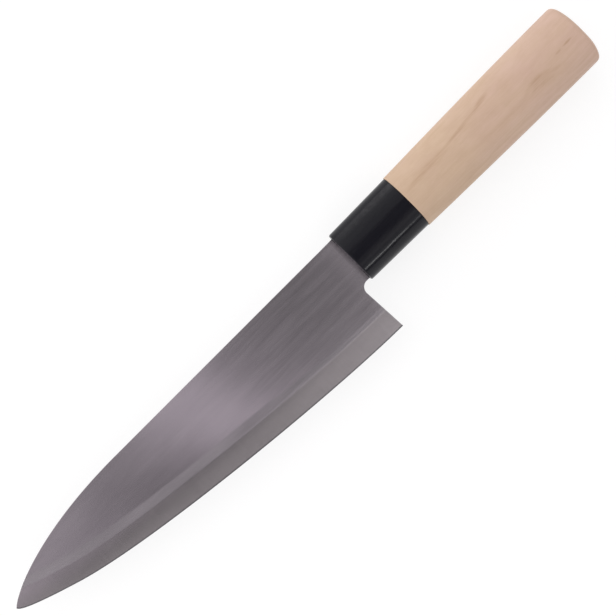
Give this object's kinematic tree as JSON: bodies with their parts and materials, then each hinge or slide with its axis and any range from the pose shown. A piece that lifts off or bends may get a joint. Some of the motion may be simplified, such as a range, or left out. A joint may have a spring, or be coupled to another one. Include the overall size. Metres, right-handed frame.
{
  "type": "gyuto knife",
  "caption": "Japanese chef's knife lying on its side: bevelled steel blade with a hidden tang, black plastic ferrule and oval magnolia handle with a soft ridge.",
  "frame": {"origin": "under the middle of the knife's bounding box, at the level of its lowest point", "axes": "+X along the knife from tip to butt, +Y towards the spine, +Z out of the upper side, which is the blade's left face"},
  "size_m": [0.3058, 0.0462, 0.0208],
  "materials": {
    "stainless_steel": "satin, ground lengthwise in fine lines",
    "black_plastic": "semi-gloss, moulded",
    "magnolia": "bare, finely sanded",
    "amber_resin": "cast, unseen"
  },
  "bodies": {
    "root": {"blade": "stainless_steel", "ferrule": "black_plastic", "handle": "magnolia", "tang_bedding": "amber_resin"}
  },
  "joints": []
}
